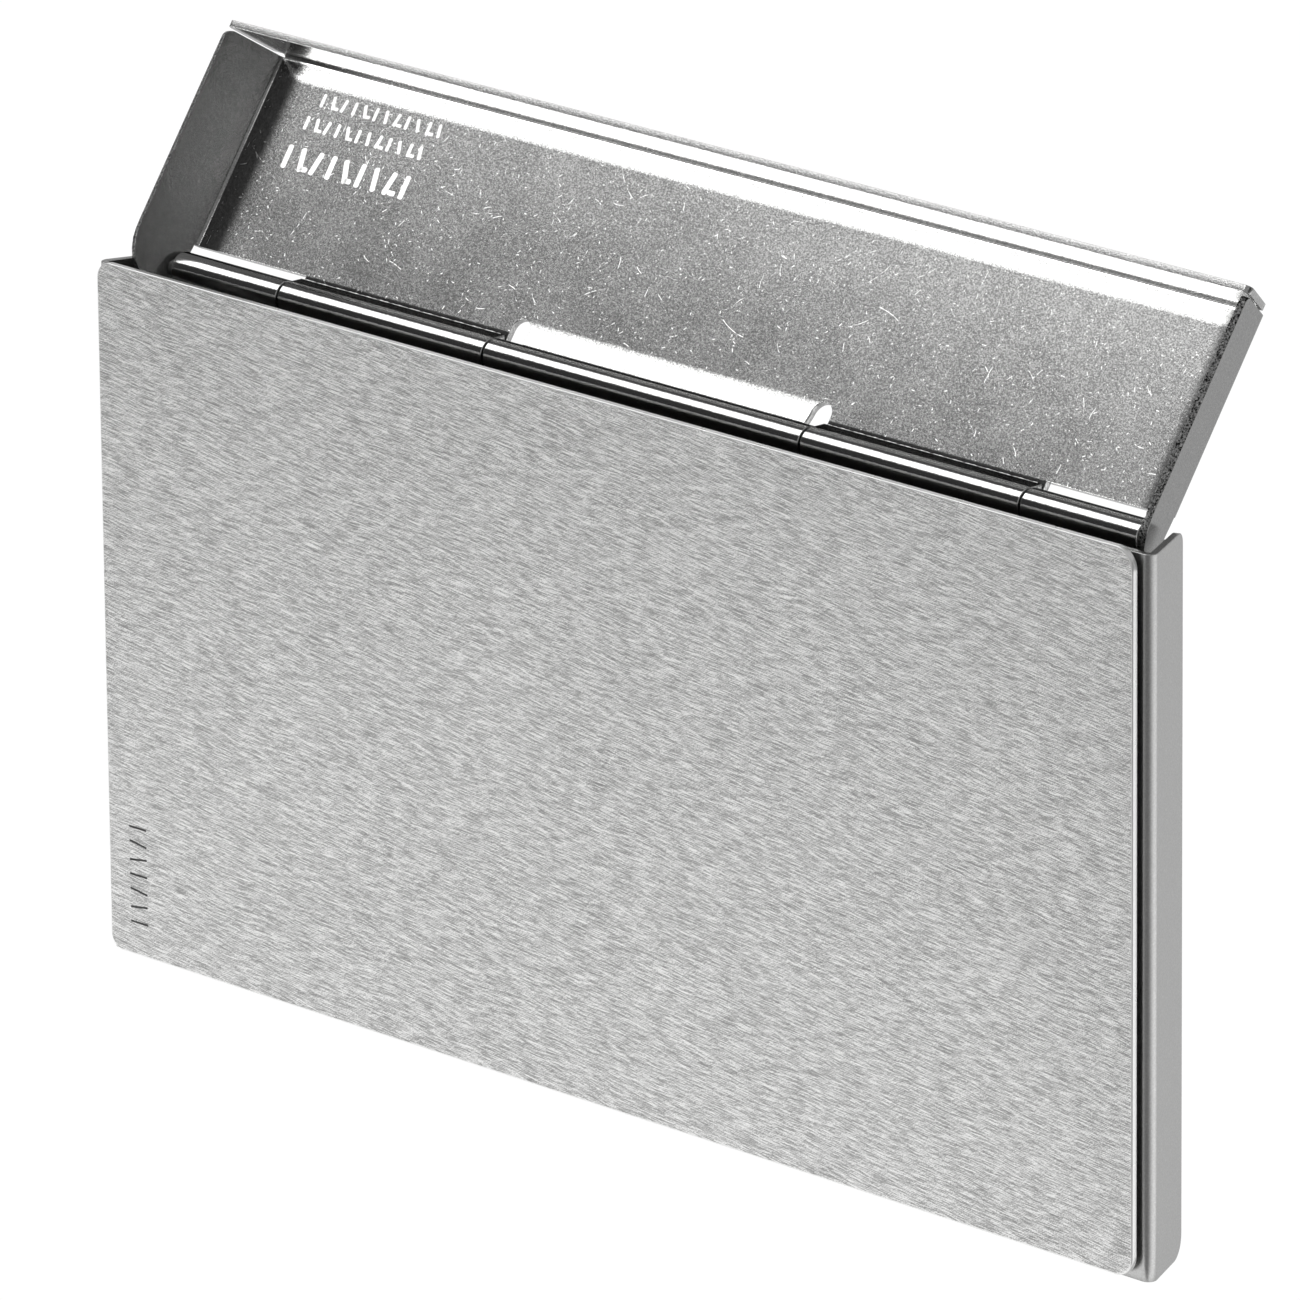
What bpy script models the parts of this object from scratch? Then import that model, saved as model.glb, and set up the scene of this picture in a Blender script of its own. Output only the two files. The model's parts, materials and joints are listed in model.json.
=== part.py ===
"""Business card case: folded stainless sheet with a flip-up lid on a piano hinge.

Frame: metres, +Z up, origin at the middle of the bottom wall's underside, face plate towards -Y.
At rest the lid leans back on its open stop.  It swings forward about the hinge pin until its
panel stands in line with the back wall.
"""
import math

import bmesh
import bpy
from mathutils import Matrix, Vector

MM = 0.001
SHEET = 0.5 * MM
GAP = 0.3 * MM

# Face plate: the proud front panel.
PLATE_FRONT_Y = -3.1 * MM
PLATE_W = 96.0 * MM
PLATE_H = 49.5 * MM
PLATE_RADIUS = 1.5 * MM

# Front channel: front wall with two side flaps folded in past square.
CHANNEL_HALF_W = 49.05 * MM
CHANNEL_H = 49.4 * MM
CHANNEL_BEND = 1.0 * MM
CHANNEL_FRONT_Y = PLATE_FRONT_Y + SHEET + GAP
FLARE = 0.45
FLAP_TOP_RADIUS = 0.8 * MM
FLAP_BOTTOM_RADIUS = 1.5 * MM

# Hinge: five rolled knuckles on one pin.
AXIS_Y = PLATE_FRONT_Y + 5.0 * MM
AXIS_Z = 48.8 * MM
KNUCKLE_R = 1.15 * MM
PIN_CLEARANCE = 0.05 * MM
PIN_OVERHANG = 0.1 * MM
KNUCKLE_GAP = 0.2 * MM
BARREL_HALF = 44.7 * MM
OUTER_JOINT = 34.4 * MM
INNER_JOINT = 14.7 * MM
CURL_END_DEG = 292.0
CURL_STEPS = 30

# Back leaf: bottom wall, back wall and the three knuckles rolled from it.
BACK_Y = AXIS_Y + KNUCKLE_R
LEAF_HALF_W = 45.5 * MM
LEAF_BEND = 1.5 * MM
LEAF_SHOULDER_Z = 48.5 * MM
LEAF_NOTCH_Z = AXIS_Z - KNUCKLE_R - 0.35 * MM
FLOOR_FRONT_Y = CHANNEL_FRONT_Y + SHEET + GAP

# Lid: panel, end wall, two cheeks and the two knuckles rolled from the panel.
LID_LEAN_DEG = 35.5
LID_HALF_W = 45.3 * MM
LID_LOW = 1.9 * MM
LID_TOP = 16.9 * MM
LID_WALL = 4.55 * MM
LID_BEND = 0.8 * MM
LID_FLARE = 0.42
CHEEK_GAP = 0.15 * MM
CHEEK_FOOT = 1.6 * MM
CHEEK_RADIUS = 0.6 * MM
NOTCH_LOW = 1.75 * MM
EAR_W = 1.7 * MM
EAR_H = 1.3 * MM

MID = SHEET / 2


def clear_scene():
    for obj in list(bpy.data.objects):
        bpy.data.objects.remove(obj, do_unlink=True)


def steel(name, tint, roughness):
    mat = bpy.data.materials.new(name)
    mat.use_nodes = True
    shader = mat.node_tree.nodes["Principled BSDF"]
    shader.inputs["Base Color"].default_value = (tint, tint, tint * 0.99, 1.0)
    shader.inputs["Metallic"].default_value = 1.0
    shader.inputs["Roughness"].default_value = roughness
    return mat


def arc(cx, cy, radius, start, end, steps):
    """Points of a circular arc in a plane, angles in degrees, both ends included."""
    points = []
    for i in range(steps + 1):
        a = math.radians(start + (end - start) * i / steps)
        points.append((cx + radius * math.cos(a), cy + radius * math.sin(a)))
    return points


def bend_points(a, corner, b, radius, steps):
    """Arc that rounds the corner of the path a-corner-b with the given radius."""
    a, corner, b = Vector(a), Vector(corner), Vector(b)
    to_a = (a - corner).normalized()
    to_b = (b - corner).normalized()
    half = to_a.angle(to_b) / 2
    centre = corner + (to_a + to_b).normalized() * (radius / math.sin(half))
    first = corner + to_a * (radius / math.tan(half)) - centre
    last = corner + to_b * (radius / math.tan(half)) - centre
    turn = first.angle(last)
    points = []
    for i in range(steps + 1):
        t = i / steps
        mix = first * math.sin((1 - t) * turn) + last * math.sin(t * turn)
        points.append(centre + mix / math.sin(turn))
    return points


def rounded(outline, radii, steps=6):
    """Closed outline whose corners are rounded, one radius per corner, zero keeps it sharp."""
    count = len(outline)
    result = []
    for i, corner in enumerate(outline):
        if radii[i] == 0:
            result.append(Vector(corner))
            continue
        before, after = outline[i - 1], outline[(i + 1) % count]
        result.extend(bend_points(before, corner, after, radii[i], steps))
    return result


def strip(line_a, line_b):
    """Quads between two lines of equal length."""
    return [
        (line_a[i], line_a[i + 1], line_b[i + 1], line_b[i])
        for i in range(len(line_a) - 1)
    ]


def finish(name, mesh, material, origin):
    mesh.transform(Matrix.Translation(-Vector(origin)))
    mesh.materials.append(material)
    obj = bpy.data.objects.new(name, mesh)
    obj.location = origin
    bpy.context.scene.collection.objects.link(obj)
    return obj


def sheet_object(name, faces, material, origin=(0, 0, 0)):
    """Sheet-metal piece: faces lie in the middle of the sheet and Solidify gives the thickness."""
    bm = bmesh.new()
    for face in faces:
        bm.faces.new([bm.verts.new(p) for p in face])
    bmesh.ops.remove_doubles(bm, verts=bm.verts, dist=1e-6)
    bmesh.ops.recalc_face_normals(bm, faces=bm.faces)
    mesh = bpy.data.meshes.new(name)
    bm.to_mesh(mesh)
    bm.free()
    obj = finish(name, mesh, material, origin)
    thick = obj.modifiers.new("thickness", 'SOLIDIFY')
    thick.thickness = SHEET
    thick.offset = 0.0
    thick.use_even_offset = True
    return obj


def build_face_plate():
    half, low, high = PLATE_W / 2, GAP, GAP + PLATE_H
    y = PLATE_FRONT_Y + MID
    corners = [(-half, y, low), (half, y, low), (half, y, high), (-half, y, high)]
    outline = rounded(corners, [PLATE_RADIUS] * 4, 8)
    return sheet_object("face_plate", [outline], steel("face_plate_steel", 0.62, 0.38))


def build_front_channel():
    front_y = CHANNEL_FRONT_Y + MID
    radius = CHANNEL_BEND - MID
    rear_y = BACK_Y
    slope = math.sqrt(1 + FLARE * FLARE)
    corner_x = CHANNEL_HALF_W - MID * slope + MID * FLARE
    rear_x = corner_x - FLARE * (rear_y - front_y)
    faces = []
    walls = {}
    for side in (-1, 1):
        low = bend_points(
            (0, front_y, 0), (side * corner_x, front_y, 0), (side * rear_x, rear_y, 0), radius, 10)
        high = [p + Vector((0, 0, CHANNEL_H)) for p in low]
        faces.extend(strip(low, high))
        walls[side] = (low[0], high[0])
        flap = [low[-1], Vector((side * rear_x, rear_y, 0)),
                Vector((side * rear_x, rear_y, CHANNEL_H)), high[-1]]
        faces.append(rounded(flap, [0, FLAP_BOTTOM_RADIUS, FLAP_TOP_RADIUS, 0]))
    faces.append([walls[-1][0], walls[1][0], walls[1][1], walls[-1][1]])
    return sheet_object("front_channel", faces, steel("front_channel_steel", 0.6, 0.3))


def knuckle_spans(ends):
    """X ranges between joint lines, each shortened by half the axial gap at an inner joint."""
    spans = []
    for low, high in ends:
        left = low if abs(low) >= BARREL_HALF else low + KNUCKLE_GAP / 2
        right = high if abs(high) >= BARREL_HALF else high - KNUCKLE_GAP / 2
        spans.append((left, right))
    return spans


def curl_faces(span, place, end_deg):
    """Rolled knuckle over one X range; place maps offsets from the axis to a point."""
    line = arc(0, 0, KNUCKLE_R - MID, 0, end_deg, CURL_STEPS)
    left = [place(span[0], y, z) for y, z in line]
    right = [place(span[1], y, z) for y, z in line]
    return strip(left, right)


def build_back_leaf():
    mid_y = BACK_Y - MID
    radius = LEAF_BEND - MID
    bend = bend_points((0, mid_y - 1, MID), (0, mid_y, MID), (0, mid_y, AXIS_Z), radius, 8)
    left = [Vector((-LEAF_HALF_W, p.y, p.z)) for p in bend]
    right = [Vector((LEAF_HALF_W, p.y, p.z)) for p in bend]
    faces = strip(left, right)
    front_y = FLOOR_FRONT_Y
    faces.append([
        left[0], Vector((-LEAF_HALF_W, front_y, MID)), Vector((LEAF_HALF_W, front_y, MID)), right[0]])

    spans = knuckle_spans([
        (-BARREL_HALF, -OUTER_JOINT), (-INNER_JOINT, INNER_JOINT), (OUTER_JOINT, BARREL_HALF)])

    def at(x, z):
        return Vector((x, mid_y, z))

    def place(x, y, z):
        return Vector((x, AXIS_Y + y, AXIS_Z + z))

    top = [at(-LEAF_HALF_W, LEAF_SHOULDER_Z), at(spans[0][0], LEAF_SHOULDER_Z)]
    for i, span in enumerate(spans):
        top.extend([at(span[0], AXIS_Z), at(span[1], AXIS_Z)])
        faces.extend(curl_faces(span, place, CURL_END_DEG))
        if i < 2:
            notch = [at(span[1], LEAF_NOTCH_Z), at(spans[i + 1][0], LEAF_NOTCH_Z)]
            top.extend(notch)
    top.extend([at(spans[2][1], LEAF_SHOULDER_Z), at(LEAF_HALF_W, LEAF_SHOULDER_Z)])
    faces.append([left[-1]] + top + [right[-1]])
    return sheet_object("back_leaf", faces, steel("back_leaf_steel", 0.6, 0.3))


def lid_place(x, y, z):
    """Lid point given upright as offsets from the axis, leaned back to the open stop."""
    lean = math.radians(LID_LEAN_DEG)
    return Vector((
        x,
        AXIS_Y + y * math.cos(lean) + z * math.sin(lean),
        AXIS_Z - y * math.sin(lean) + z * math.cos(lean),
    ))


def ear(x_edge, direction):
    """Relief cut beside a knuckle, from the knuckle edge to the lip of the panel."""
    top = NOTCH_LOW + EAR_H
    path = []
    for px, pz in arc(EAR_W / 2, top - EAR_W / 2, EAR_W / 2, 180, 0, 8):
        path.append((x_edge + direction * px, pz))
    return path


def cheek_outline():
    """Side view of a cheek from the bend foot to the bend head, upright offsets (y, z)."""
    free = KNUCKLE_R - LID_WALL
    head = LID_TOP - SHEET - CHEEK_GAP
    foot = [
        (0.5 * MM, 1.0 * MM),
        (0.42 * MM, 0.2 * MM),
        (0.3 * MM, -0.4 * MM),
        (-0.2 * MM, -CHEEK_FOOT + 0.15 * MM),
        (-0.8 * MM, -CHEEK_FOOT),
        (free + 1.75 * MM, -CHEEK_FOOT + 0.3 * MM),
        (free + 1.2 * MM, -0.75 * MM),
        (free + 0.7 * MM, 0.0 * MM),
        (free + 0.35 * MM, 1.0 * MM),
        (free + 0.12 * MM, 2.2 * MM),
        (free, 3.8 * MM),
    ]
    corner = bend_points((free, 0, 0), (free, head, 0), (0, head, 0), CHEEK_RADIUS, 5)
    return foot + [(p.x, p.y) for p in corner]


def build_lid():
    panel_y = KNUCKLE_R - MID
    low, top = LID_LOW, LID_TOP - MID
    radius = LID_BEND - MID
    end_z = top - radius
    head = LID_TOP - SHEET - CHEEK_GAP
    slope = math.sqrt(1 + LID_FLARE * LID_FLARE)
    corner_x = LID_HALF_W - MID * slope + MID * LID_FLARE
    faces = []
    panel_edges = {}

    for side in (-1, 1):
        path = bend_points(
            (0, panel_y, 0), (side * corner_x, panel_y, 0),
            (side * (corner_x + LID_FLARE), panel_y - 1, 0), radius, 6)
        foot_line = [lid_place(p.x, p.y, low) for p in path]
        head_line = [lid_place(p.x, p.y, head) for p in path]
        faces.extend(strip(foot_line, head_line))
        panel_edges[side] = path[0].x

        def on_cheek(y, z):
            return lid_place(side * (corner_x + LID_FLARE * (panel_y - y)), y, z)

        cheek = [foot_line[-1]] + [on_cheek(y, z) for y, z in cheek_outline()] + [head_line[-1]]
        faces.append(cheek)

    spans = knuckle_spans([(-OUTER_JOINT, -INNER_JOINT), (INNER_JOINT, OUTER_JOINT)])
    outline = [(panel_edges[-1], low)]
    for span in spans:
        if span is spans[1]:
            outline.extend(reversed(ear(span[0], -1)))
            outline.append((span[0], 0))
        else:
            outline.extend([(span[0], low), (span[0], 0)])
        if span is spans[0]:
            outline.append((span[1], 0))
            outline.extend(ear(span[1], 1))
        else:
            outline.extend([(span[1], 0), (span[1], low)])
        faces.extend(curl_faces(span, lid_place, -CURL_END_DEG))
    outline.append((panel_edges[1], low))
    outline.append((panel_edges[1], head))
    wall_half = panel_edges[1] - 0.1 * MM
    outline.extend([(wall_half, head), (wall_half, end_z), (-wall_half, end_z), (-wall_half, head)])
    outline.append((panel_edges[-1], head))
    faces.append([lid_place(x, panel_y, z) for x, z in outline])

    bend = bend_points((panel_y, 0, 0), (panel_y, top, 0), (-1, top, 0), radius, 6)
    left = [lid_place(-wall_half, p.x, p.y) for p in bend]
    right = [lid_place(wall_half, p.x, p.y) for p in bend]
    faces.extend(strip(left, right))
    free = KNUCKLE_R - LID_WALL
    rear = bend[-1].x
    rear_half = LID_HALF_W + LID_FLARE * (KNUCKLE_R - rear)
    free_half = LID_HALF_W + LID_FLARE * LID_WALL
    wall = [
        (-wall_half, rear), (-rear_half, rear), (-free_half, free),
        (free_half, free), (rear_half, rear), (wall_half, rear)]
    wall = rounded([(x, y, 0) for x, y in wall], [0, 0, 0.4 * MM, 0.4 * MM, 0, 0], 4)
    faces.append([lid_place(p.x, p.y, top) for p in wall])
    return sheet_object("lid", faces, steel("lid_steel", 0.55, 0.25), (0, AXIS_Y, AXIS_Z))


def build_hinge_pin():
    radius = KNUCKLE_R - SHEET - PIN_CLEARANCE
    half = BARREL_HALF + PIN_OVERHANG
    bpy.ops.mesh.primitive_cylinder_add(vertices=32, radius=radius, depth=2 * half)
    obj = bpy.context.active_object
    mesh = obj.data
    bpy.data.objects.remove(obj, do_unlink=True)
    mesh.name = "hinge_pin"
    mesh.transform(Matrix.Rotation(math.pi / 2, 4, 'Y'))
    pin = finish("hinge_pin", mesh, steel("hinge_pin_steel", 0.6, 0.2), (0, 0, 0))
    pin.location = (0, AXIS_Y, AXIS_Z)
    chamfer = pin.modifiers.new("chamfer", 'BEVEL')
    chamfer.width = 0.1 * MM
    chamfer.segments = 2
    chamfer.angle_limit = math.radians(60)
    return pin


def main():
    clear_scene()
    build_face_plate()
    build_front_channel()
    build_back_leaf()
    build_hinge_pin()
    build_lid()


main()
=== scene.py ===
import bpy
import bmesh
import json
import math
from mathutils import Matrix, Vector


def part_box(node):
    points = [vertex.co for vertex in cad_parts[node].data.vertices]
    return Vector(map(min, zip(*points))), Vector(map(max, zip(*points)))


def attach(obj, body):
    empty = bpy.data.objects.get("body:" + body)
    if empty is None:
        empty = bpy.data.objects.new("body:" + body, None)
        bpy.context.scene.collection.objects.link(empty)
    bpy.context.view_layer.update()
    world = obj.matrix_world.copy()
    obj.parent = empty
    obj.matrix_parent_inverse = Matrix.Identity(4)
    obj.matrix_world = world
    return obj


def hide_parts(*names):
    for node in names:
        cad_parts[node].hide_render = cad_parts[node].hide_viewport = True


# A folded stainless steel card case: front channel, face plate, back leaf, pin and a lid that
# stands open on a rolled hinge. All sizes are in metres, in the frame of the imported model.

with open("model.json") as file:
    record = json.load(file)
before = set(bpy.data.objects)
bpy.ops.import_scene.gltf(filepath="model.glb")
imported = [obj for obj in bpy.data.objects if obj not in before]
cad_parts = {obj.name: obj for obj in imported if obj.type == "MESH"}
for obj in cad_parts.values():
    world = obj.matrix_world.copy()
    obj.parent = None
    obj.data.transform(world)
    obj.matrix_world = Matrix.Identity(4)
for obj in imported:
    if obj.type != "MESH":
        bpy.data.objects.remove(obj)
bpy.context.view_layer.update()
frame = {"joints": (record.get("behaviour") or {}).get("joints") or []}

MM = 0.001
SHEET = 0.5 * MM
MID = SHEET / 2
EDGE = 0.055 * MM
BEVEL_ANGLE = math.radians(50)
WELD = 0.001 * MM

joint = frame["joints"][0]
AXIS_Y, AXIS_Z = joint["pos_m"][1], joint["pos_m"][2]
LEAN = math.radians(joint["range_deg"][1])

plate_low, plate_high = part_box("face_plate")
channel_low, channel_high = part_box("front_channel")
leaf_low, leaf_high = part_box("back_leaf")
pin_low, pin_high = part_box("hinge_pin")

# Hinge: rolled knuckles, joints between them at these distances from the middle.
KNUCKLE_R = 1.15 * MM
CURL_R = KNUCKLE_R - MID
KNUCKLE_GAP = 0.2 * MM
BARREL_HALF = 44.7 * MM
OUTER_JOINT = 34.4 * MM
INNER_JOINT = 14.7 * MM
CURL_END_DEG = 292.0
CURL_STEPS = 56
# Turns of the back leaf's knuckles, in degrees from the back, that take the near-black steel:
# painted shade along their top.
PAINTED_SHADE_DEG = (40.0, 93.0)
PIN_CHAMFER = 0.1 * MM
PIN_STEPS = 48

# Face plate: corner radii are bottom left, bottom right, top right, top left from the front.
PLATE_RADII = [1.1 * MM, 1.5 * MM, 1.5 * MM, 1.3 * MM]
PLATE_EDGE = 0.12 * MM

CHANNEL_HALF_W = 48.83 * MM
CHANNEL_BEND = 0.6 * MM
FLARE = 0.45
FLAP_BOTTOM_R = 1.5 * MM
FLAP_TOP_R = 0.8 * MM

LEAF_BEND = 1.5 * MM
LEAF_SHOULDER_Z = 48.5 * MM
LEAF_NOTCH_Z = AXIS_Z - KNUCKLE_R - 0.35 * MM

# Lid, upright: y and z are measured from the hinge axis.
PANEL_Y = KNUCKLE_R - MID
LID_HALF_W = 45.3 * MM
LID_LOW = 1.9 * MM
LID_TOP = 16.9 * MM
LID_WALL = 4.55 * MM
LID_FREE_Y = KNUCKLE_R - LID_WALL
LID_BEND = 0.8 * MM
LID_FLARE = 0.42
LID_CORNER_X = LID_HALF_W - MID * math.sqrt(1 + LID_FLARE * LID_FLARE) + MID * LID_FLARE
WALL_INSET = 0.1 * MM
WALL_CORNER_R = 0.4 * MM
CHEEK_GAP = 0.15 * MM
CHEEK_HEAD = LID_TOP - SHEET - CHEEK_GAP
CHEEK_FOOT = 1.6 * MM
CHEEK_CORNER_R = 0.6 * MM
NOTCH_LOW = 1.75 * MM
EAR_W = 1.7 * MM
EAR_H = 1.3 * MM
LIP_LOW = 1.22 * MM
LIP_DROP = 0.26 * MM
LIP_STEPS = 6
RAMP = math.radians(57.0)
RAMP_STEPS = 3
RAMP_END_Y = 0.484 * MM
BURR_STEPS = 220
BURR_SIDES = 8
LID_PLACE = Matrix.Translation((0, AXIS_Y, AXIS_Z)) @ Matrix.Rotation(-LEAN, 4, "X")

# The lid panel draws back above this height, easing into the slope.
CROWN_START = 14.75 * MM
CROWN_EASE = 1.1 * MM
CROWN_SLOPE = math.tan(math.radians(6.5))

# Sanded face plate. Grain: angle, length in mm, shift.
GRAIN_WIDTH = 0.045 * MM
GRAIN = ((-3, 2.0, 0.0), (-9, 1.5, 3.1), (31, 0.7, 7.7))
# Bright scratches: angle, length and width in mm, ramp start and end, shift.
SCRATCHES = ((-2, 1.5, 0.055, 0.61, 0.69, 21.0), (-8, 1.2, 0.055, 0.64, 0.72, 27.0),
             (28, 0.9, 0.05, 0.71, 0.79, 31.0))
# Handling marks: cell, length and width in mm, share of cells marked, shift.
SCUFFS = ((1.3, 0.45, 0.05, 0.3, 0.05), (3.6, 1.3, 0.05, 0.3, 0.11),
          (0.6, 0.13, 0.06, 0.4, 0.23))
LIGHTEST = 0.97
TINT_BLUE = 0.992

# Generic marks. Etched rows in mm: z, height, width, count, first x, pitch.
ETCHED_ROWS = ((9.6, 1.75, 0.46, 9, -40.6, 1.42), (12.2, 1.0, 0.3, 12, -40.2, 1.0),
               (14.0, 1.0, 0.3, 12, -39.6, 1.02))
ETCHED_TILTS = (0, 12, -12, 0, 20)
ETCHED_PROUD = 0.012 * MM
STAMPED_X, STAMPED_Z, STAMPED_PITCH, STAMPED_COUNT = -45.1 * MM, 2.7, 1.15, 7
STAMPED_TILTS = (0, 8, -8)
STAMPED_PROUD = 0.006 * MM
BAR_DEPTH = 0.02 * MM

# Studio. Floor shades: start and end bearing in degrees, change in tone.
FLOOR_HALF = 6.0
FLOOR_Z = -0.0002
FLOOR_TO_CAMERA = 1.02
BEARING_FROM = (0.049, -0.003)
FLOOR_SHADES = ((-118, -100, 0.2 - 1.0), (-58, 25, 1.25 - 0.2), (40, 85, 0.66 - 1.25))
WORLD_LEVEL = 0.42
# Dark flags: direction, outer and inner half angle in degrees, depth.
FLAGS = (((-0.66, -0.69, 0.30), 30, 17, 0.38), ((0.98, 0.06, 0.15), 34, 20, 0.34),
         ((-0.669, 0.13, 0.73), 16, 9, 0.34))
SOFTBOX_REACH = 0.82
SOFTBOX_X = -0.74
CAMERA_TURN_DEG = (44.717, 18.031, 0.565)
CAMERA_PLACE = (0.633392, -0.638036, 0.324407)
CAMERA_LENS = 394.463


# ---------------------------------------------------------------- materials

class Graph:
    """Small helper that adds nodes to one node tree."""

    def __init__(self, tree):
        self.tree = tree

    def add(self, kind, **settings):
        node = self.tree.nodes.new(kind)
        for key, value in settings.items():
            setattr(node, key, value)
        return node

    def feed(self, socket, value):
        if isinstance(value, bpy.types.NodeSocket):
            self.tree.links.new(value, socket)
        else:
            socket.default_value = value

    def math(self, operation, *values, clamp=False):
        node = self.add("ShaderNodeMath", operation=operation, use_clamp=clamp)
        for i, value in enumerate(values):
            self.feed(node.inputs[i], value)
        return node.outputs[0]

    def chain(self, operation, first, *others):
        """Applies one two-input operation along a list of values."""
        for value in others:
            first = self.math(operation, first, value)
        return first

    def vector(self, operation, *values):
        node = self.add("ShaderNodeVectorMath", operation=operation)
        for i, value in enumerate(values):
            self.feed(node.inputs[i], value)
        return node.outputs["Value" if operation in ("DOT_PRODUCT", "LENGTH") else "Vector"]

    def ramp(self, value, low, high, out_low=0.0, out_high=1.0):
        node = self.add("ShaderNodeMapRange", interpolation_type="SMOOTHSTEP")
        for i, item in enumerate((value, low, high, out_low, out_high)):
            self.feed(node.inputs[i], item)
        return node.outputs[0]

    def noise(self, coordinates, scale, detail=2.0, roughness=0.5):
        node = self.add("ShaderNodeTexNoise")
        self.feed(node.inputs["Vector"], coordinates)
        self.feed(node.inputs["Scale"], scale)
        self.feed(node.inputs["Detail"], detail)
        self.feed(node.inputs["Roughness"], roughness)
        return node.outputs["Fac"]

    def split(self, coordinates):
        node = self.add("ShaderNodeSeparateXYZ")
        self.feed(node.inputs[0], coordinates)
        return node.outputs

    def join(self, x, y, z):
        node = self.add("ShaderNodeCombineXYZ")
        for i, value in enumerate((x, y, z)):
            self.feed(node.inputs[i], value)
        return node.outputs[0]

    def turn(self, coordinates, angle):
        node = self.add("ShaderNodeVectorRotate", rotation_type="Y_AXIS")
        self.feed(node.inputs["Vector"], coordinates)
        self.feed(node.inputs["Angle"], angle)
        return node.outputs[0]

    def hairlines(self, coordinates, angle_deg, length, width, low, high, shift=0.0):
        """Fine parallel scratches at one angle in the X-Z plane, 0 to 1."""
        turned = self.turn(coordinates, math.radians(angle_deg))
        stretched = self.vector("MULTIPLY", turned, (1 / length, 1 / width, 1 / width))
        moved = self.vector("ADD", stretched, (shift, shift, shift))
        return self.ramp(self.noise(moved, 1.0, 2.5, 0.6), low, high)

    def strokes(self, coordinates, cell, length, width, share, shift=0.0):
        """Sparse short scratches, one per cell, each at its own angle, 0 to 1."""
        x, y, z = self.split(coordinates)[:3]
        # sheared, so that a wall that runs along y keeps a pattern of its own
        down = self.math("ADD", z, self.math("MULTIPLY", y, 0.93))
        flat = self.join(self.math("ADD", x, shift), down, 0.0)
        cells = self.add("ShaderNodeTexVoronoi", voronoi_dimensions="2D", feature="F1")
        self.feed(cells.inputs["Vector"], flat)
        self.feed(cells.inputs["Scale"], 1 / cell)
        local = self.vector("SUBTRACT", flat, cells.outputs["Position"])
        chance = self.split(cells.outputs["Color"])
        spin = self.add("ShaderNodeVectorRotate", rotation_type="Z_AXIS")
        self.feed(spin.inputs["Vector"], local)
        self.feed(spin.inputs["Angle"], self.math("MULTIPLY", chance[0], 2 * math.pi))
        along, across = self.split(spin.outputs[0])[:2]
        bow = self.chain("MULTIPLY", along, along, 0.12 / length)
        bowed = self.math("ADD", across, bow)
        reach = self.math("MULTIPLY", self.math("ADD", chance[1], 0.25), length)
        fraction = self.math("DIVIDE", self.math("ABSOLUTE", along), reach)
        inside = self.ramp(fraction, 0.7, 1.0, 1.0, 0.0)
        thin = self.ramp(self.math("ABSOLUTE", bowed), width * 0.35, width * 0.75, 1.0, 0.0)
        chosen = self.math("LESS_THAN", chance[2], share)
        return self.chain("MULTIPLY", inside, thin, chosen)


def new_material(name, metallic=1.0):
    mat = bpy.data.materials.new(name)
    mat.use_nodes = True
    graph = Graph(mat.node_tree)
    shader = mat.node_tree.nodes["Principled BSDF"]
    shader.inputs["Metallic"].default_value = metallic
    place = graph.add("ShaderNodeTexCoord").outputs["Object"]
    return mat, graph, shader, place


def set_surface(graph, shader, tone, roughness, height, bump_distance):
    """Grey tone, roughness and bump height drive the shader."""
    colour = graph.join(tone, tone, graph.math("MULTIPLY", tone, TINT_BLUE))
    graph.feed(shader.inputs["Base Color"], colour)
    graph.feed(shader.inputs["Roughness"], roughness)
    bump = graph.add("ShaderNodeBump")
    bump.inputs["Strength"].default_value = 1.0
    bump.inputs["Distance"].default_value = bump_distance
    graph.feed(bump.inputs["Height"], height)
    graph.feed(shader.inputs["Normal"], bump.outputs[0])


def orbital_steel(name, tone):
    """Sanded sheet: long fine grain, some crossed grain and brighter short scratches."""
    mat, g, shader, place = new_material(name)
    wavy = g.add("ShaderNodeTexNoise")
    g.feed(wavy.inputs["Vector"], place)
    g.feed(wavy.inputs["Scale"], 150.0)
    centred = g.vector("SUBTRACT", wavy.outputs["Color"], (0.5, 0.5, 0.5))
    place = g.vector("ADD", place, g.vector("MULTIPLY", centred, (0.5 * MM, 0.0, 0.5 * MM)))
    main, second, cross = [
        g.hairlines(place, angle, length * MM, GRAIN_WIDTH, 0.3, 0.7, shift)
        for angle, length, shift in GRAIN]
    fine = g.ramp(g.noise(place, 9000.0, 2.0, 0.6), 0.3, 0.7)
    along = g.math("MULTIPLY", g.math("ADD", main, second), 0.32)
    across = g.math("MULTIPLY", g.math("ADD", cross, fine), 0.18)
    grain = g.math("ADD", along, across)
    marks = g.chain("MAXIMUM", *[
        g.hairlines(place, angle, length * MM, width * MM, low, high, shift)
        for angle, length, width, low, high, shift in SCRATCHES])
    clouds = g.noise(place, 60.0, 3.0, 0.6)
    value = g.math("ADD", tone - 1.33, g.math("MULTIPLY", grain, 2.4))
    value = g.math("MAXIMUM", value, 0.27)
    value = g.chain("ADD", value, g.math("MULTIPLY", clouds, 0.09), marks)
    value = g.math("MINIMUM", value, LIGHTEST)
    rough = g.math("ADD", 0.34, g.math("MULTIPLY", grain, 0.12))
    height = g.math("SUBTRACT", grain, g.math("MULTIPLY", marks, 0.6))
    set_surface(g, shader, value, rough, height, 0.006 * MM)
    return mat


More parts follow.
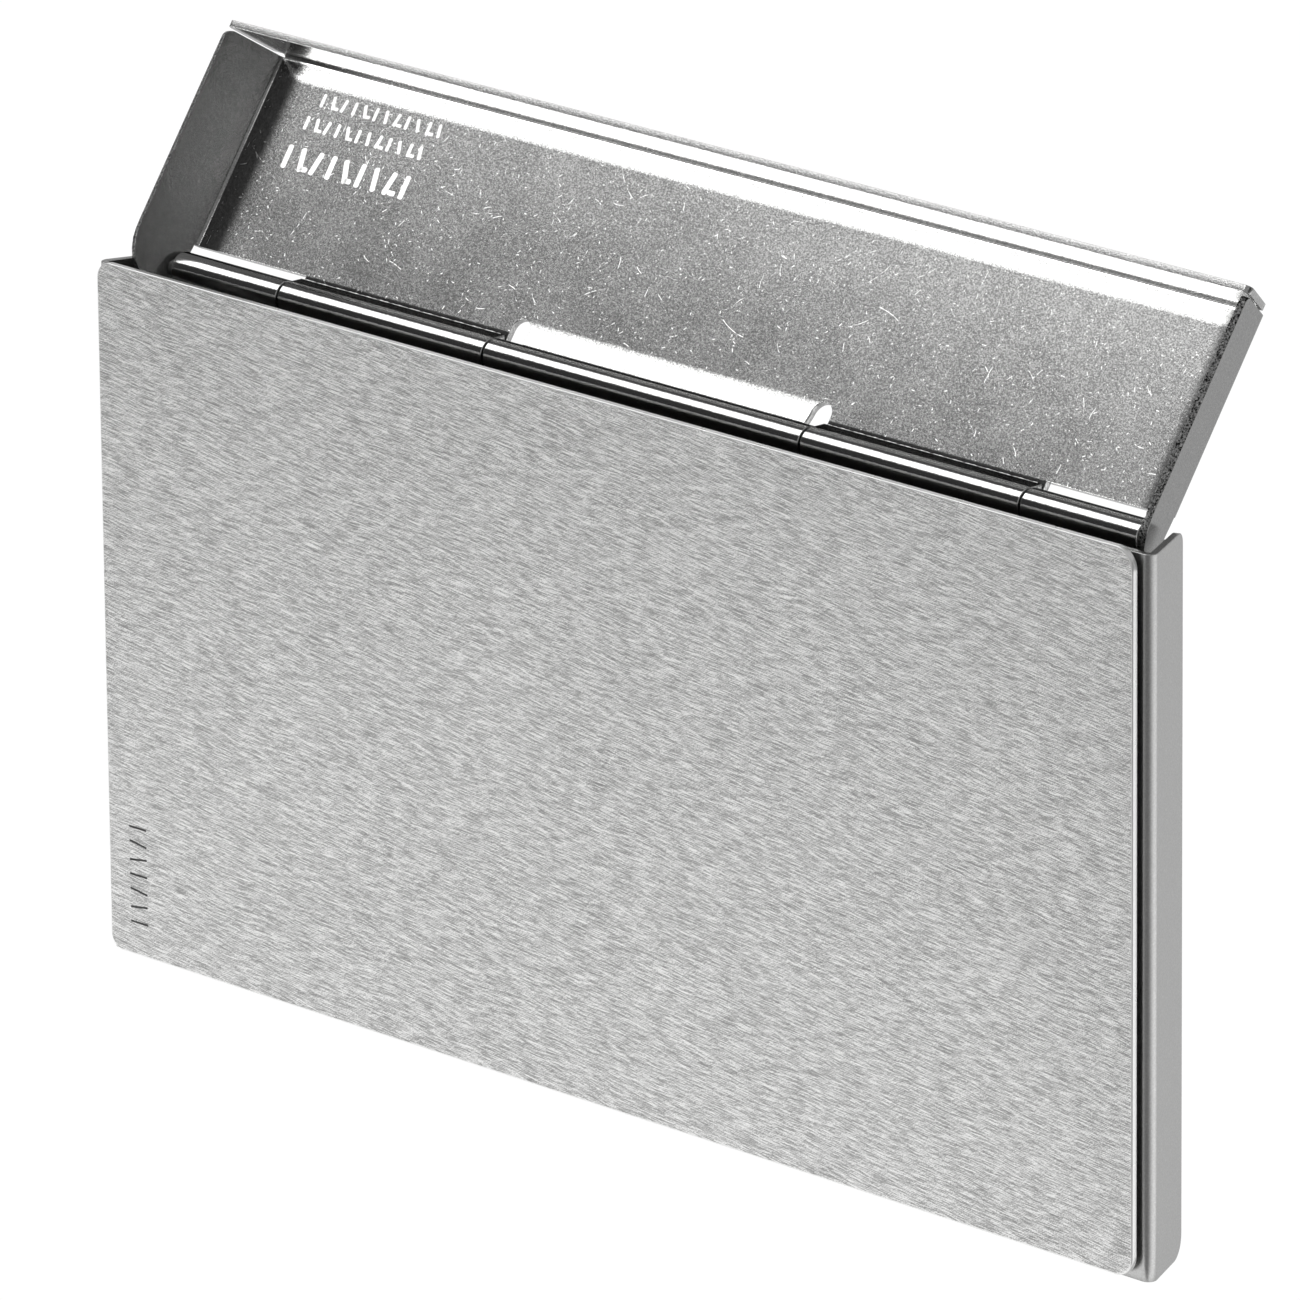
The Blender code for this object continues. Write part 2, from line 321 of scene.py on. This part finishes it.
def panel_painted_shade(g, place):
    """Painted shade: darkens the panel in the crease by each lid knuckle and along both ends of the
    panel.
    """
    x, _, z = g.split(place)[:3]
    wide = g.math("ABSOLUTE", x)
    crease = g.chain("MULTIPLY", g.ramp(wide, 14.6 * MM, 14.9 * MM),
                     g.ramp(wide, 34.3 * MM, 34.5 * MM, 1.0, 0.0),
                     g.ramp(z, 1.86 * MM, 1.98 * MM, 1.0, 0.0))
    ends = g.math("MULTIPLY", g.ramp(wide, 42.3 * MM, 43.3 * MM, 0.0, 0.78),
                  g.ramp(z, 15.9 * MM, 16.2 * MM, 1.0, 0.0))
    return g.math("MAXIMUM", g.math("MULTIPLY", crease, 0.88), ends)


def draw_panel_back(g, shader, place):
    """Adds a slight draw-back of the panel towards the far bend, as folded sheet has."""
    z = g.split(place)[2]
    rise = g.math("MAXIMUM", g.math("SUBTRACT", z, CROWN_START), 0.0)
    eased = g.math("DIVIDE", g.math("MULTIPLY", rise, rise), g.math("ADD", rise, CROWN_EASE))
    bump = g.add("ShaderNodeBump")
    bump.inputs["Distance"].default_value = 1.0
    g.feed(bump.inputs["Height"], g.math("MULTIPLY", eased, -CROWN_SLOPE))
    g.feed(bump.inputs["Normal"], shader.inputs["Normal"].links[0].from_socket)
    g.feed(shader.inputs["Normal"], bump.outputs[0])


def mill_steel(name, tone, rough_base, speckle=0.06, scuffs=0.0, lid_panel=False, metallic=1.0,
               rim_tint=1.0, bump_distance=0.003 * MM):
    """Smooth rolled sheet with faint streaks, fine pits and handling scuffs."""
    mat, g, shader, place = new_material(name, metallic)
    shader.inputs["Specular Tint"].default_value = (rim_tint, rim_tint, rim_tint, 1.0)
    streak = 0.04
    streaks = g.hairlines(place, 0, 6 * MM, 0.12 * MM, 0.25, 0.75)
    clouds = g.noise(place, 220.0, 4.0, 0.6)
    pits = g.ramp(g.noise(place, 8200.0, 1.0, 0.6), 0.32, 0.68)
    moved = g.vector("ADD", place, (0.3, 0.1, 0.2))
    points = g.ramp(g.noise(moved, 5200.0, 1.0, 0.5), 0.64, 0.74)
    value = g.chain("ADD", tone - 0.5 * (streak + speckle) - 0.02,
                    g.math("MULTIPLY", streaks, streak), g.math("MULTIPLY", clouds, 0.04),
                    g.math("MULTIPLY", pits, speckle), g.math("MULTIPLY", points, speckle))
    rough = g.math("ADD", rough_base - 0.03, g.math("MULTIPLY", clouds, 0.06))
    if scuffs:
        marks = g.chain("MAXIMUM", *[
            g.strokes(place, cell * MM, length * MM, width * MM, share, shift)
            for cell, length, width, share, shift in SCUFFS])
        worn = g.math("MULTIPLY", marks, g.ramp(g.noise(place, 2600.0, 1.0), 0.38, 0.6))
        value = g.math("ADD", value, g.math("MULTIPLY", worn, scuffs))
        rough = g.math("ADD", rough, g.math("MULTIPLY", worn, 0.22))
    # painted shade on the lid panel, in its knuckle creases and along its ends
    if lid_panel:
        unshaded = g.math("SUBTRACT", 1.0, panel_painted_shade(g, place))
        value = g.math("MULTIPLY", value, unshaded)
    value = g.math("MINIMUM", value, LIGHTEST)
    set_surface(g, shader, value, rough, g.math("MULTIPLY", pits, 0.4), bump_distance)
    if lid_panel:
        draw_panel_back(g, shader, place)
    return mat


plate_steel = orbital_steel("face_plate_orbital", 0.66)
channel_steel = mill_steel("channel_satin", 0.55, 0.3, speckle=0.07)
leaf_steel = mill_steel("leaf_satin", 0.55, 0.3, speckle=0.1, scuffs=0.12)
lid_steel = mill_steel("lid_mill", 0.56, 0.17, speckle=0.34, scuffs=0.42, lid_panel=True,
                       bump_distance=0.0018 * MM)
# The cheeks are the same sheet as the panel; their darker tones, on faces and cut edges, are
# painted shade.
shaded_cheek_steel = mill_steel("cheek_mill", 0.31, 0.2, speckle=0.09)
roll_steel = mill_steel("rolled_knuckle", 0.62, 0.12, speckle=0.05)
cut_steel = mill_steel("cut_edge", 0.5, 0.18, speckle=0.2)
shaded_cheek_cut = mill_steel("cheek_cut_edge", 0.2, 0.3, speckle=0.4)
outer_steel = mill_steel("lid_outside", 0.55, 0.24, speckle=0.1, scuffs=0.12)
# Near-black steel with dulled rims: painted shade on the laid-back ends of the lid knuckles and
# along the top of the back leaf's knuckles.
painted_dark_steel = mill_steel("laid_back_end", 0.1, 0.25, rim_tint=0.25)
# Light tone of the burr: painted highlight along the knuckle seam.
burr_highlight_steel = mill_steel("burr_painted_highlight", 0.9, 0.5, speckle=0.2)
etched_steel = mill_steel("etched_mark", 0.93, 0.42, speckle=0.08)
# Near-black, non-metallic bars standing just proud of the plate: painted shade of stamped grooves.
stamp_shade_steel = mill_steel("stamped_groove", 0.06, 0.6, speckle=0.04, metallic=0.0, rim_tint=0.3)
# Light, part-diffuse steel on the face plate's bevelled rim: a painted highlight along its edge.
rim_highlight_steel = mill_steel("plate_rim", 0.95, 0.28, metallic=0.7)


# ---------------------------------------------------------------- geometry helpers

def arc(cx, cy, radius, start, end, steps):
    """Points of a circular arc, angles in degrees, both ends included."""
    points = []
    for i in range(steps + 1):
        a = math.radians(start + (end - start) * i / steps)
        points.append((cx + radius * math.cos(a), cy + radius * math.sin(a)))
    return points


def bend_points(a, corner, b, radius, steps):
    """Arc that rounds the corner of the path a-corner-b."""
    a, corner, b = Vector(a), Vector(corner), Vector(b)
    to_a = (a - corner).normalized()
    to_b = (b - corner).normalized()
    half = to_a.angle(to_b) / 2
    centre = corner + (to_a + to_b).normalized() * (radius / math.sin(half))
    first = corner + to_a * (radius / math.tan(half)) - centre
    last = corner + to_b * (radius / math.tan(half)) - centre
    turn = first.angle(last)
    points = []
    for i in range(steps + 1):
        t = i / steps
        mix = first * math.sin((1 - t) * turn) + last * math.sin(t * turn)
        points.append(centre + mix / math.sin(turn))
    return points


def rounded(outline, radii, steps):
    """Closed outline with each corner rounded by its own radius."""
    result = []
    for i, corner in enumerate(outline):
        if radii[i] == 0:
            result.append(Vector(corner))
            continue
        before, after = outline[i - 1], outline[(i + 1) % len(outline)]
        result.extend(bend_points(before, corner, after, radii[i], steps))
    return result


def strip(line_a, line_b):
    """Quads between two lines of points."""
    return [
        (line_a[i], line_a[i + 1], line_b[i + 1], line_b[i])
        for i in range(len(line_a) - 1)
    ]


def finished_mesh(bm, name, materials):
    bmesh.ops.recalc_face_normals(bm, faces=bm.faces)
    mesh = bpy.data.meshes.new(name)
    bm.to_mesh(mesh)
    bm.free()
    for material in materials:
        mesh.materials.append(material)
    return mesh


def mesh_piece(name, mesh, body, nodes, place=None, smooth=True):
    """Links a mesh as one piece that rides on a body and stands for the given CAD nodes."""
    for polygon in mesh.polygons:
        polygon.use_smooth = smooth
    obj = bpy.data.objects.new(name, mesh)
    bpy.context.scene.collection.objects.link(obj)
    if place is not None:
        obj.matrix_world = place
    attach(obj, body)
    if nodes:
        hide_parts(*nodes)
    return obj


def weight_normals(obj):
    weighted = obj.modifiers.new("normals", "WEIGHTED_NORMAL")
    weighted.keep_sharp = False


def sheet_piece(name, groups, materials, body, nodes, place=None,
                edge=EDGE, edge_steps=2, edge_material=-1):
    """Sheet metal, from faces in the middle of the sheet that are grouped by material.

    materials holds a set for the faces and a set for the cut edges, one of each per group.
    A third set between them gives the other side of the sheet a finish of its own.
    """
    bm = bmesh.new()
    for index, faces in enumerate(groups):
        for face in faces:
            made = bm.faces.new([bm.verts.new(p) for p in face])
            made.material_index = index
    bmesh.ops.remove_doubles(bm, verts=bm.verts, dist=WELD)
    mesh = finished_mesh(bm, name, materials)
    obj = mesh_piece(name, mesh, body, nodes, place)
    sets = len(materials) // len(groups)
    thick = obj.modifiers.new("thickness", "SOLIDIFY")
    thick.thickness = SHEET
    thick.offset = 0.0
    thick.use_even_offset = True
    thick.material_offset = len(groups) * (sets - 2)
    thick.material_offset_rim = len(groups) * (sets - 1)
    bevel = obj.modifiers.new("edge", "BEVEL")
    bevel.width = edge
    bevel.segments = edge_steps
    bevel.limit_method = "ANGLE"
    bevel.angle_limit = BEVEL_ANGLE
    bevel.material = edge_material
    weight_normals(obj)


# ---------------------------------------------------------------- face plate

def build_face_plate():
    y = (plate_low.y + plate_high.y) / 2
    corners = [(plate_low.x, y, plate_low.z), (plate_high.x, y, plate_low.z),
               (plate_high.x, y, plate_high.z), (plate_low.x, y, plate_high.z)]
    outline = rounded(corners, PLATE_RADII, 14)
    sheet_piece("face_plate_sheet", [[outline]], [plate_steel, rim_highlight_steel],
                "case", ["face_plate"],
                edge=PLATE_EDGE, edge_steps=4, edge_material=1)


# ---------------------------------------------------------------- front channel

def build_front_channel():
    front_y = channel_low.y + MID
    rear_y = leaf_high.y
    radius = CHANNEL_BEND - MID
    height = channel_high.z
    slope = math.sqrt(1 + FLARE * FLARE)
    corner_x = CHANNEL_HALF_W - MID * slope + MID * FLARE
    rear_x = corner_x - FLARE * (rear_y - front_y)
    faces = []
    walls = {}
    for side in (-1, 1):
        low = bend_points((0, front_y, 0), (side * corner_x, front_y, 0),
                          (side * rear_x, rear_y, 0), radius, 16)
        high = [p + Vector((0, 0, height)) for p in low]
        faces.extend(strip(low, high))
        walls[side] = (low[0], high[0])
        flap = [low[-1], Vector((side * rear_x, rear_y, 0)),
                Vector((side * rear_x, rear_y, height)), high[-1]]
        faces.append(rounded(flap, [0, FLAP_BOTTOM_R, FLAP_TOP_R, 0], 8))
    faces.append([walls[-1][0], walls[1][0], walls[1][1], walls[-1][1]])
    sheet_piece("front_channel_sheet", [faces], [channel_steel, cut_steel],
                "case", ["front_channel"])


# ---------------------------------------------------------------- back leaf and lid

def knuckle_spans(ends):
    """Draws each knuckle back from its joints by half the gap."""
    spans = []
    for low, high in ends:
        left = low if abs(low) >= BARREL_HALF else low + KNUCKLE_GAP / 2
        right = high if abs(high) >= BARREL_HALF else high - KNUCKLE_GAP / 2
        spans.append((left, right))
    return spans


def build_back_leaf():
    mid_y = leaf_high.y - MID
    half = leaf_high.x
    bend = bend_points((0, mid_y - 1, MID), (0, mid_y, MID), (0, mid_y, AXIS_Z),
                       LEAF_BEND - MID, 14)
    left = [Vector((-half, p.y, p.z)) for p in bend]
    right = [Vector((half, p.y, p.z)) for p in bend]
    faces = strip(left, right)
    faces.append([left[0], Vector((-half, leaf_low.y, MID)), Vector((half, leaf_low.y, MID)),
                  right[0]])
    curls, dark = [], []
    step = CURL_END_DEG / CURL_STEPS
    spans = knuckle_spans([(-BARREL_HALF, -OUTER_JOINT), (-INNER_JOINT, INNER_JOINT),
                           (OUTER_JOINT, BARREL_HALF)])

    def at(x, z):
        return Vector((x, mid_y, z))

    roll = arc(0, 0, CURL_R, 0, CURL_END_DEG, CURL_STEPS)
    top = [at(-half, LEAF_SHOULDER_Z), at(spans[0][0], LEAF_SHOULDER_Z)]
    for i, span in enumerate(spans):
        top.extend([at(span[0], AXIS_Z), at(span[1], AXIS_Z)])
        lines = [[Vector((x, AXIS_Y + y, AXIS_Z + z)) for y, z in roll] for x in span]
        for k, quad in enumerate(strip(*lines)):
            # turns in this band take the near-black steel, painted shade
            back = PAINTED_SHADE_DEG[0] < (k + 0.5) * step < PAINTED_SHADE_DEG[1]
            (dark if back else curls).append(quad)
        if i < 2:
            top.extend([at(span[1], LEAF_NOTCH_Z), at(spans[i + 1][0], LEAF_NOTCH_Z)])
    top.extend([at(spans[2][1], LEAF_SHOULDER_Z), at(half, LEAF_SHOULDER_Z)])
    faces.append([left[-1]] + top + [right[-1]])
    sheet_piece("back_leaf_sheet", [faces], [leaf_steel, cut_steel],
                "case", ["back_leaf"])
    sheet_piece("back_leaf_knuckles", [curls, dark],
                [roll_steel, painted_dark_steel, cut_steel, cut_steel],
                "case", ["back_leaf"])


def ear(x_edge, direction):
    """Half-round ear beside the centre lip, as x and z."""
    top = NOTCH_LOW + EAR_H
    return [(x_edge + direction * px, pz)
            for px, pz in arc(EAR_W / 2, top - EAR_W / 2, EAR_W / 2, 180, 0, 14)]


def ramped_curl(span):
    """Lid knuckle: rolled down, under and up the front, its end laid back to the panel."""
    line = arc(0, 0, CURL_R, 0, -180 - math.degrees(RAMP), CURL_STEPS)
    start_y, start_z = line[-1]
    length = (RAMP_END_Y - start_y) / math.sin(RAMP)
    for i in range(1, RAMP_STEPS + 1):
        step = length * i / RAMP_STEPS
        line.append((start_y + step * math.sin(RAMP), start_z + step * math.cos(RAMP)))
    quads = strip(*[[Vector((x, y, z)) for y, z in line] for x in span])
    return quads[:-RAMP_STEPS], quads[-RAMP_STEPS:]


def build_burrs(spans):
    """Broken burr along the outer corner where each lid knuckle ends; its light tone is a painted
    highlight.
    """
    sine, cosine = math.sin(RAMP), math.cos(RAMP)
    end_z = CURL_R * sine + (RAMP_END_Y + CURL_R * cosine) / math.tan(RAMP)
    y = RAMP_END_Y - MID * cosine + 0.01 * MM
    z = end_z + MID * sine - 0.02 * MM
    turns = [2 * math.pi * m / BURR_SIDES for m in range(BURR_SIDES)]
    bm = bmesh.new()
    for k, (low, high) in enumerate(spans):
        rings = []
        for i in range(BURR_STEPS + 1):
            x = low + (high - low) * (0.02 + 0.96 * i / BURR_STEPS)
            wave = math.sin(i * 0.9 + k) + math.sin(i * 0.37 + 2.1 * k)
            wave += 0.7 * math.sin(i * 2.3 + 1.3)
            r = max((0.033 + 0.012 * wave) * MM, 0.006 * MM)
            rings.append([bm.verts.new((x, y + r * math.cos(t), z + r * math.sin(t)))
                          for t in turns])
        for one, two in zip(rings, rings[1:]):
            for m in range(BURR_SIDES):
                n = (m + 1) % BURR_SIDES
                bm.faces.new((one[m], one[n], two[n], two[m]))
        bm.faces.new(list(reversed(rings[0])))
        bm.faces.new(rings[-1])
    mesh = finished_mesh(bm, "lid_seam_burr", [burr_highlight_steel])
    mesh_piece("lid_seam_burr", mesh, "lid", [], LID_PLACE)


def lip_faces(side_line):
    """Centre lip between the ears: it curves gently forward down to its free edge."""
    last_x, last_z = side_line[-1]
    levels = list(side_line)
    for i in range(1, LIP_STEPS + 1):
        levels.append((last_x, last_z + (LIP_LOW - last_z) * i / LIP_STEPS))
    start = side_line[0][1]
    left, right = [], []
    for x, z in levels:
        t = (start - z) / (start - LIP_LOW)
        y = PANEL_Y - LIP_DROP * t * t
        left.append(Vector((x, y, z)))
        right.append(Vector((-x, y, z)))
    return [(a, b, d, c) for a, b, c, d in zip(left, right, left[1:], right[1:])]


def cheek_outline():
    """Cheek from its foot round the free edge to its head, as y and z."""
    free = LID_FREE_Y
    foot = [
        (0.5 * MM, 1.0 * MM), (0.42 * MM, 0.2 * MM), (0.3 * MM, -0.4 * MM),
        (-0.2 * MM, -CHEEK_FOOT + 0.15 * MM), (-0.8 * MM, -CHEEK_FOOT),
        (free + 1.7 * MM, -CHEEK_FOOT), (free + 1.1 * MM, -1.35 * MM),
        (free + 0.65 * MM, -0.9 * MM), (free + 0.32 * MM, -0.25 * MM), (free + 0.1 * MM, 0.45 * MM),
        (free + 0.02 * MM, 1.1 * MM), (free, 1.8 * MM),
    ]
    corner = bend_points((free, 0, 0), (free, CHEEK_HEAD, 0), (0, CHEEK_HEAD, 0),
                         CHEEK_CORNER_R, 8)
    return foot + [(p.x, p.y) for p in corner]


def cheek_faces(side):
    """One cheek with the bend that joins it to the panel, and the x where that bend starts."""
    path = bend_points((0, PANEL_Y, 0), (side * LID_CORNER_X, PANEL_Y, 0),
                       (side * (LID_CORNER_X + LID_FLARE), PANEL_Y - 1, 0), LID_BEND - MID, 12)
    foot_line = [Vector((p.x, p.y, LID_LOW)) for p in path]
    head_line = [Vector((p.x, p.y, CHEEK_HEAD)) for p in path]
    wall = [Vector((side * (LID_CORNER_X + LID_FLARE * (PANEL_Y - y)), y, z))
            for y, z in cheek_outline()]
    faces = strip(foot_line, head_line)
    faces.append([foot_line[-1]] + wall + [head_line[-1]])
    return faces, path[0].x


def end_wall_faces(half):
    """Far bend and end wall; half is half the width of the bend."""
    top = LID_TOP - MID
    bend = bend_points((PANEL_Y, 0, 0), (PANEL_Y, top, 0), (-1, top, 0), LID_BEND - MID, 12)
    faces = strip(*[[Vector((x, p.x, p.y)) for p in bend] for x in (-half, half)])
    rear, free = bend[-1].x, LID_FREE_Y
    rear_half = LID_HALF_W + LID_FLARE * (KNUCKLE_R - rear)
    free_half = LID_HALF_W + LID_FLARE * LID_WALL
    wall = [(-half, rear, 0), (-rear_half, rear, 0), (-free_half, free, 0),
            (free_half, free, 0), (rear_half, rear, 0), (half, rear, 0)]
    wall = rounded(wall, [0, 0, WALL_CORNER_R, WALL_CORNER_R, 0, 0], 6)
    faces.append([Vector((p.x, p.y, top)) for p in wall])
    return faces


def build_lid():
    """Built upright around the hinge axis; its matrix leans it back to the open stop."""
    left_cheek, left_edge = cheek_faces(-1)
    right_cheek, right_edge = cheek_faces(1)
    spans = knuckle_spans([(-OUTER_JOINT, -INNER_JOINT), (INNER_JOINT, OUTER_JOINT)])
    curls, ramps = [], []
    for span in spans:
        roll, ramp = ramped_curl(span)
        curls.extend(roll)
        ramps.extend(ramp)
    left_ear = ear(spans[0][1], 1)
    right_ear = list(reversed(ear(spans[1][0], -1)))
    middle = len(left_ear) // 2
    wall_half = right_edge - WALL_INSET
    bend_z = LID_TOP - LID_BEND
    outline = [(left_edge, LID_LOW), (spans[0][0], LID_LOW), (spans[0][0], 0), (spans[0][1], 0)]
    outline += left_ear[:middle + 1] + right_ear[middle:]
    outline += [(spans[1][0], 0), (spans[1][1], 0), (spans[1][1], LID_LOW), (right_edge, LID_LOW),
                (right_edge, CHEEK_HEAD), (wall_half, CHEEK_HEAD), (wall_half, bend_z),
                (-wall_half, bend_z), (-wall_half, CHEEK_HEAD), (left_edge, CHEEK_HEAD)]
    panel = [Vector((x, PANEL_Y, z)) for x, z in outline]
    plain = lip_faces(left_ear[middle:]) + [panel] + end_wall_faces(wall_half)
    build_burrs(spans)
    sheet_piece("lid_knuckles", [curls, ramps], [roll_steel, painted_dark_steel, cut_steel, cut_steel],
                "lid", ["lid"], LID_PLACE)
    sheet_piece("lid_sheet", [plain, left_cheek + right_cheek],
                [outer_steel, shaded_cheek_steel, lid_steel, shaded_cheek_steel, cut_steel, shaded_cheek_cut],
                "lid", ["lid"], LID_PLACE)


# ---------------------------------------------------------------- pin

def build_pin():
    radius = (pin_high.z - pin_low.z) / 2
    half = pin_high.x
    profile = [(-half, 0.0), (-half, radius - PIN_CHAMFER),
               (-half + PIN_CHAMFER * 0.3, radius - PIN_CHAMFER * 0.3),
               (-half + PIN_CHAMFER, radius)]
    profile += [(-x, r) for x, r in reversed(profile)]
    bm = bmesh.new()
    verts = [bm.verts.new((x, 0, r)) for x, r in profile]
    chain = [bm.edges.new(pair) for pair in zip(verts, verts[1:])]
    bmesh.ops.spin(bm, geom=verts + chain, cent=(0, 0, 0), axis=(1, 0, 0),
                   angle=2 * math.pi, steps=PIN_STEPS, use_merge=True)
    bmesh.ops.remove_doubles(bm, verts=bm.verts, dist=WELD)
    mesh = finished_mesh(bm, "hinge_pin_rod", [roll_steel])
    obj = mesh_piece("hinge_pin_rod", mesh, "case", ["hinge_pin"],
                     Matrix.Translation((0, AXIS_Y, AXIS_Z)))
    weight_normals(obj)


# ---------------------------------------------------------------- generic marks

def bar_mesh(name, bars, y, material):
    """Flat bars in the X-Z plane: each is (x, z, length, width, angle in degrees)."""
    bm = bmesh.new()
    for x, z, length, width, angle in bars:
        a = math.radians(angle)
        along = Vector((math.cos(a), 0, math.sin(a))) * (length / 2)
        across = Vector((-math.sin(a), 0, math.cos(a))) * (width / 2)
        centre = Vector((x, y, z))
        corners = [centre + along * s + across * t
                   for s, t in ((-1, -1), (1, -1), (1, 1), (-1, 1))]
        flat = rounded(corners, [width * 0.35] * 4, 3)
        front = [bm.verts.new(p) for p in flat]
        back = [bm.verts.new(p + Vector((0, BAR_DEPTH, 0))) for p in flat]
        bm.faces.new(front)
        bm.faces.new(list(reversed(back)))
        for i in range(len(flat)):
            j = (i + 1) % len(flat)
            bm.faces.new((front[i], back[i], back[j], front[j]))
    return finished_mesh(bm, name, [material])


def build_marks():
    bars = []
    for z, height, width, count, start, pitch in ETCHED_ROWS:
        for i in range(count):
            x = start + i * pitch
            tilt = ETCHED_TILTS[i % len(ETCHED_TILTS)]
            bars.append((x * MM, z * MM, height * MM, width * MM, 90 + tilt))
            if i % 3 == 1:
                bars.append(((x + 0.35 * pitch) * MM, (z - 0.35 * height) * MM,
                             0.5 * pitch * MM, width * MM * 0.8, 0))
    mesh = bar_mesh("lid_etched_bars", bars, KNUCKLE_R - SHEET - ETCHED_PROUD, etched_steel)
    mesh_piece("lid_etched_bars", mesh, "lid", [], LID_PLACE, smooth=False)

    bars = []
    for i in range(STAMPED_COUNT):
        z = (STAMPED_Z + i * STAMPED_PITCH) * MM
        tilt = STAMPED_TILTS[i % len(STAMPED_TILTS)]
        bars.append((STAMPED_X, z, 1.7 * MM, 0.15 * MM, tilt))
    mesh = bar_mesh("plate_stamped_bars", bars, plate_low.y - STAMPED_PROUD, stamp_shade_steel)
    mesh_piece("plate_stamped_bars", mesh, "case", [], smooth=False)


build_face_plate()
build_front_channel()
build_back_leaf()
build_pin()
build_lid()
build_marks()


# ---------------------------------------------------------------- floor, world, lights

def build_floor():
    """White to the camera; to reflections its tone depends on the place on the floor."""
    mesh = bpy.data.meshes.new("floor")
    corners = [(x * FLOOR_HALF, y * FLOOR_HALF, FLOOR_Z)
               for x, y in ((-1, -1), (1, -1), (1, 1), (-1, 1))]
    mesh.from_pydata(corners, [], [(0, 1, 2, 3)])
    floor = bpy.data.objects.new("floor", mesh)
    bpy.context.scene.collection.objects.link(floor)
    mat = bpy.data.materials.new("floor_white")
    mat.use_nodes = True
    mat.node_tree.nodes.clear()
    g = Graph(mat.node_tree)
    x, y = g.split(g.add("ShaderNodeTexCoord").outputs["Object"])[:2]
    bearing = g.math("ARCTAN2", g.math("SUBTRACT", y, BEARING_FROM[1]),
                     g.math("SUBTRACT", x, BEARING_FROM[0]))
    steps = [g.ramp(bearing, math.radians(first), math.radians(last), 0.0, change)
             for first, last, change in FLOOR_SHADES]
    grey = g.chain("ADD", 1.0, *steps)
    distance = g.vector("LENGTH", g.join(x, y, 0.0))
    grey = g.math("MULTIPLY", grey, g.ramp(distance, 0.2, 0.34, 1.0, 0.2))
    path = g.add("ShaderNodeLightPath")
    level = g.add("ShaderNodeMix", data_type="FLOAT")
    g.feed(level.inputs["Factor"], path.outputs["Is Camera Ray"])
    g.feed(level.inputs["A"], grey)
    g.feed(level.inputs["B"], FLOOR_TO_CAMERA)
    glow = g.add("ShaderNodeEmission")
    g.feed(glow.inputs["Strength"], level.outputs["Result"])
    out = g.add("ShaderNodeOutputMaterial")
    g.feed(out.inputs["Surface"], glow.outputs[0])
    mesh.materials.append(mat)


def build_world():
    """Even grey surroundings with a few soft dark flags."""
    world = bpy.data.worlds.new("studio")
    bpy.context.scene.world = world
    world.use_nodes = True
    g = Graph(world.node_tree)
    direction = g.vector("NORMALIZE", g.add("ShaderNodeTexCoord").outputs["Generated"])
    level = WORLD_LEVEL
    for centre, outer, inner, depth in FLAGS:
        near = g.vector("DOT_PRODUCT", direction, tuple(Vector(centre).normalized()))
        cut = g.ramp(near, math.cos(math.radians(outer)), math.cos(math.radians(inner)), 0, depth)
        level = g.math("SUBTRACT", level, cut, clamp=True)
    background = world.node_tree.nodes["Background"]
    g.feed(background.inputs["Strength"], level)
    background.inputs["Color"].default_value = (1, 1, 1, 1)


def turn_box(name, low_deg, high_deg, length, twist_deg, radiance):
    """Softbox along the hinge line, over turns about that line: 90 is up, 180 the front."""
    low, high = math.radians(low_deg), math.radians(high_deg)
    middle = (low + high) / 2
    width = 2 * SOFTBOX_REACH * math.tan((high - low) / 2)
    data = bpy.data.lights.new(name, "AREA")
    data.shape = "RECTANGLE"
    data.size = length
    data.size_y = width
    data.energy = radiance * math.pi * length * width
    box = bpy.data.objects.new(name, data)
    bpy.context.scene.collection.objects.link(box)
    box.visible_camera = False
    outward = Vector((0, math.cos(middle), math.sin(middle)))
    along = Matrix.Rotation(math.radians(twist_deg), 3, outward) @ Vector((1, 0, 0))
    across = outward.cross(along)
    pose = Matrix((along, across, outward)).transposed().to_4x4()
    pose.translation = Vector((SOFTBOX_X, 0, AXIS_Z)) + outward * SOFTBOX_REACH
    box.matrix_world = pose
    return box


def build_lights():
    """The tray box lights the lid sheet and what lies on it, and nothing else."""
    turn_box("key_softbox", 90, 128.8, length=1.0, twist_deg=-6, radiance=2.2)
    tray = turn_box("tray_softbox", 147, 168, length=0.8, twist_deg=0, radiance=7.0)
    receivers = bpy.data.collections.new("tray_receivers")
    for name in ("lid_sheet", "lid_etched_bars", "lid_seam_burr"):
        receivers.objects.link(bpy.data.objects[name])
    tray.light_linking.receiver_collection = receivers


def build_camera():
    azimuth, elevation, roll = (math.radians(a) for a in CAMERA_TURN_DEG)
    forward = Vector((-math.sin(azimuth) * math.cos(elevation),
                      math.cos(azimuth) * math.cos(elevation), -math.sin(elevation)))
    level = Vector((math.cos(azimuth), math.sin(azimuth), 0))
    rise = level.cross(forward)
    right = level * math.cos(roll) - rise * math.sin(roll)
    up = level * math.sin(roll) + rise * math.cos(roll)
    data = bpy.data.cameras.new("camera")
    data.sensor_width = 36.0
    data.lens = CAMERA_LENS
    data.clip_start = 0.01
    camera = bpy.data.objects.new("camera", data)
    bpy.context.scene.collection.objects.link(camera)
    pose = Matrix((right, up, -forward)).transposed().to_4x4()
    pose.translation = CAMERA_PLACE
    camera.matrix_world = pose
    bpy.context.scene.camera = camera


build_floor()
build_world()
build_lights()
build_camera()
bpy.context.scene.view_settings.view_transform = "Standard"
